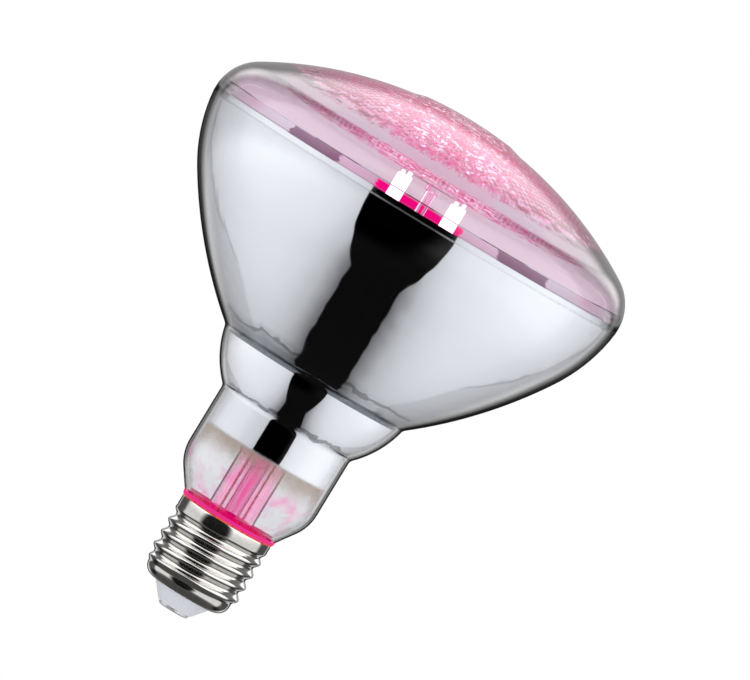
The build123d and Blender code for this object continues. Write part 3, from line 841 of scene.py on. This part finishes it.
def finish_inside():
    """The metal in the lamp, and the parts of its driver."""
    grained("strip_metal", (0.6, 0.59, 0.58), (0.75, 0.74, 0.73), 0.2, 0.35, Metallic=1.0).on(
        nodes["upper_anchor"], nodes["lower_yoke_live"], nodes["lower_yoke_neutral"])
    grained("wire_metal", (0.6, 0.42, 0.33), (0.78, 0.6, 0.5), 0.2, 0.35, Metallic=1.0).on(
        nodes["lead_wire_live"], nodes["lead_wire_neutral"], nodes["contact_wire"], nodes["shell_wire"])
    grained("board_mask", (0.03, 0.12, 0.05), (0.06, 0.2, 0.09), 0.3, 0.45).on(nodes["driver_board"])
    grained("can_sleeve", (0.03, 0.035, 0.06), (0.08, 0.09, 0.12), 0.25, 0.4).on(
        nodes["smoothing_capacitor"])
    grained("ferrite", (0.03, 0.028, 0.028), (0.08, 0.075, 0.07), 0.5, 0.7).on(nodes["choke"])
    grained("moulded_package", (0.012, 0.012, 0.014), (0.03, 0.03, 0.035), 0.45, 0.6).on(
        nodes["bridge_rectifier"], nodes["driver_chip"])
    grained("resistor_lacquer", (0.1, 0.25, 0.2), (0.2, 0.4, 0.35), 0.3, 0.45).on(nodes["fuse_resistor"])


def walls_for_film(studio, direction):
    """What the mirror film reflects: pale walls, with a black flag in front of the lamp."""
    x, y, z = studio.split(direction)
    aside = studio.math("ABSOLUTE", studio.math("ADD", x, -0.008))
    down = studio.times(z, -1.0)

    # The flag stands in front and runs under the lamp as a narrower strip.
    spread = studio.math("MAXIMUM", studio.math("SUBTRACT", -0.4, y), 0.0)
    half_width = studio.math("MINIMUM", studio.math("MULTIPLY_ADD", spread, 0.48, 0.187), 0.445)
    half_width = studio.times(half_width, studio.smooth(down, 0.0, 0.1, 0.87, 1.0))
    flag = studio.smooth(studio.math("SUBTRACT", aside, half_width), -0.006, 0.01)
    flag = studio.mix(studio.smooth(z, -0.01, 0.01), flag, WHITE)

    # The walls grow brighter away from the flag and fall off a little behind the lamp.
    walls = studio.levels(aside, (0.2, 0.22), (0.26, 0.45), (0.32, 0.67), (0.38, 0.8), (0.45, 0.92),
                          (0.55, 1.03), (0.75, 1.13), (1.0, 1.3))
    falloff = studio.smooth(y, 0.0, 1.0, 1.0, 0.88)

    # Behind the lamp is a grey patch with a thin line at its edge.
    ripple = studio.noise(direction, 9.0)
    shifted = studio.math("MULTIPLY_ADD", ripple, 0.12, studio.math("ADD", aside, -0.06))
    patch = studio.levels(shifted, (0.5, 0.84), (0.55, 0.84), (0.565, 0.6), (0.58, 1.0))
    patch = studio.math("MAXIMUM", patch, studio.smooth(y, 0.6, 0.5))

    # Dark rims far behind the lamp draw its outline, except low on the left.
    right = studio.smooth(x, 0.0, 0.1)
    level = studio.smooth(down, 0.35, 0.2)
    near_axis = studio.smooth(aside, 0.31, 0.28)
    drawn = studio.math("MAXIMUM", right, studio.math("MAXIMUM", level, near_axis))
    rim = studio.levels(y, (0.0, 0.0), (0.86, 0.0), (0.9, 0.85), (0.95, 0.85), (0.985, 0.1), (1.0, 0.0))
    rim = studio.math("SUBTRACT", 1.0, studio.times(rim, studio.smooth(z, 0.2, 0.08), drawn))

    left = studio.times(studio.smooth(x, -0.1, -0.3), level)
    left = studio.math("MULTIPLY_ADD", left, -0.2, 1.0)
    return studio.times(flag, walls, falloff, patch, rim, left)


def walls_for_metal(studio, direction):
    """What bare metal reflects: bands by height, a dark oval panel in front and grey ones at the sides."""
    x, y, z = studio.split(direction)
    turn = studio.math("ARCTAN2", x, studio.times(y, -1.0))
    across = studio.math("DIVIDE", studio.math("ADD", turn, radians(14.0)), radians(44.0))
    upward = studio.math("DIVIDE", studio.math("ADD", z, 0.05), 0.8)
    oval = studio.math("MULTIPLY_ADD", across, across, studio.times(upward, upward))
    panel = studio.smooth(oval, 0.45, 1.05, 0.01, 1.0)
    turned = studio.math("ABSOLUTE", turn)
    from_side = studio.math("ABSOLUTE", studio.math("SUBTRACT", turned, radians(128.0)))
    side = studio.smooth(from_side, radians(14.0), radians(26.0), 0.1, 1.0)
    panels = studio.mix(studio.smooth(z, -0.72, -0.6), WHITE, studio.times(panel, side))
    bands = studio.levels(studio.math("MULTIPLY_ADD", z, 0.5, 0.5),
                          (0.0, 0.08), (0.18, 0.1), (0.25, 0.25), (0.31, 1.0), (0.4, 0.95),
                          (0.5, 0.85), (0.58, 1.1), (0.66, 2.2), (0.84, 2.0), (0.94, 0.5))
    beyond = studio.smooth(z, -0.02, 0.02, 0.02, 0.42)
    return studio.mix(studio.smooth(y, 0.84, 0.94), studio.times(panels, bands), beyond)


def make_world():
    """A light studio, white behind the lamp, with walls of their own for each kind of mirror."""
    world = bpy.data.worlds.new("studio")
    bpy.context.scene.world = world
    world.use_nodes = True
    studio = Wires(world.node_tree)
    studio.tree.nodes.clear()
    output = studio.tree.nodes.new("ShaderNodeOutputWorld")
    background = studio.tree.nodes.new("ShaderNodeBackground")
    studio.put(background.outputs[0], output.inputs["Surface"])
    direction = studio.tree.nodes.new("ShaderNodeTexCoord").outputs["Generated"]

    # A mirrored ray that has passed through glass comes from the film, any other from bare metal.
    level = studio.mix(studio.met("Transmission Depth"), walls_for_metal(studio, direction),
                       walls_for_film(studio, direction))
    studio.put(studio.mix(studio.met("Glossy Depth"), WHITE, level), background.inputs["Color"])


def make_camera():
    """The camera of the picture, which rolls so that the lamp leans."""
    data = bpy.data.cameras.new("camera")
    data.sensor_width = SENSOR_WIDTH
    data.lens = SENSOR_WIDTH * CAMERA_DISTANCE / PICTURE_WIDTH
    data.clip_end = CAMERA_REACH
    camera = bpy.data.objects.new("camera", data)
    bpy.context.scene.collection.objects.link(camera)
    bpy.context.scene.camera = camera
    tilt = radians(CAMERA_ELEVATION)
    away = Vector((0, -cos(tilt), sin(tilt)))
    right = Vector((1, 0, 0))
    up = away.cross(right)
    upright = Matrix((right, up, away)).transposed()
    roll = Matrix.Rotation(radians(LAMP_LEAN), 3, "Z")
    place = Matrix.Translation(Vector(LOOK_AT) + away * CAMERA_DISTANCE)
    camera.matrix_world = place @ (upright @ roll).to_4x4()


def make_floor():
    """A pale round floor under the lamp, which mirrors and glass don't show."""
    deselect()
    bpy.ops.mesh.primitive_circle_add(vertices=FLOOR_SIDES, radius=FLOOR_RADIUS, fill_type="NGON",
                                      location=(0, 0, FLOOR_HEIGHT))
    floor = bpy.context.object
    floor.name = "floor"
    Finish("pale_floor", Base_Color=(0.93, 0.93, 0.93), Roughness=0.9).on(floor)
    floor.visible_glossy = False
    floor.visible_transmission = False


make_camera()
body = make_body()
coat = make_coat()
lens = make_lens()
shell = make_shell()
finish_body(body)
finish_coat(coat)
finish_lens(lens)
finish_stem()
finish_filaments()
finish_bead()
finish_base(shell)
finish_inside()
for piece in (body, coat, lens, shell):
    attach(piece, "root")
make_world()
make_floor()

scene = bpy.context.scene
scene.view_settings.view_transform = "Standard"
